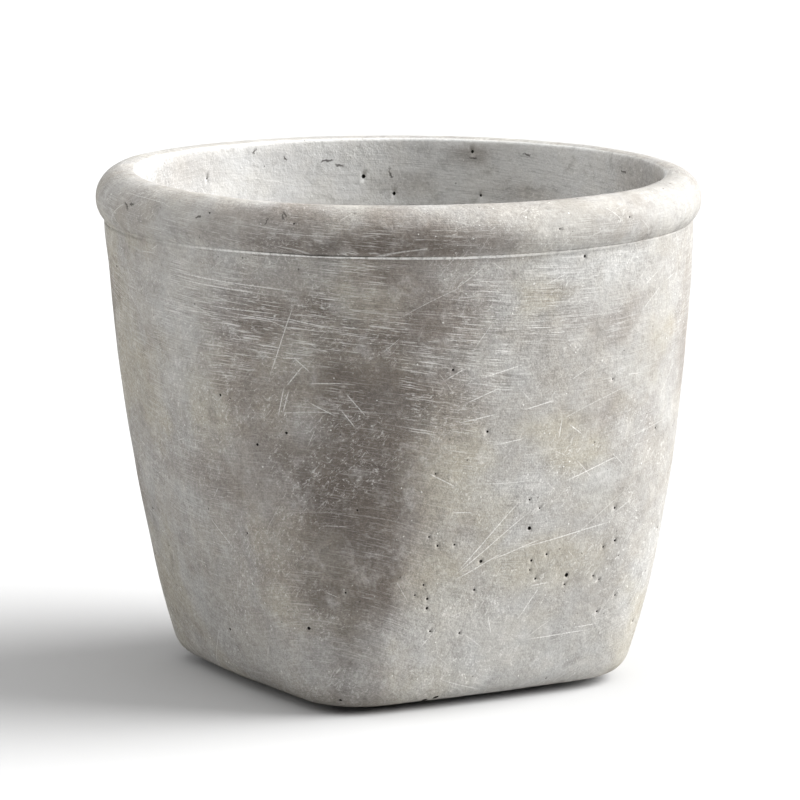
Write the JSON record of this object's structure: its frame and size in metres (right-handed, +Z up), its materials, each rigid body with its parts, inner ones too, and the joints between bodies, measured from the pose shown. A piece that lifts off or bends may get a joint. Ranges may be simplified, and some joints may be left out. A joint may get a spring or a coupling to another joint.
{
  "type": "plant pot",
  "caption": "Cast cement plant pot: round mouth with a rolled rim, tapering to a rounded square base, with a removable drain plug and foot pads.",
  "frame": {"origin": "centre of the footprint, on the surface that the foot pads rest on", "axes": "+Z up through the middle of the mouth and the drain hole; +X and +Y square to two faces of the rounded square base"},
  "size_m": [0.21, 0.21, 0.1774],
  "materials": {
    "cement": "matte",
    "plug_rubber": "satin",
    "pad_rubber": "matte"
  },
  "bodies": {
    "pot": {"pot_shell": "cement", "foot_pad_1": "pad_rubber", "foot_pad_2": "pad_rubber", "foot_pad_3": "pad_rubber", "foot_pad_4": "pad_rubber"},
    "plug": {"drain_plug": "plug_rubber"}
  },
  "joints": [
    {"name": "drain_plug_lift", "type": "slide", "parent": "pot", "child": "plug", "axis": [0, 0, 1], "range_m": [0, 0.19]}
  ]
}
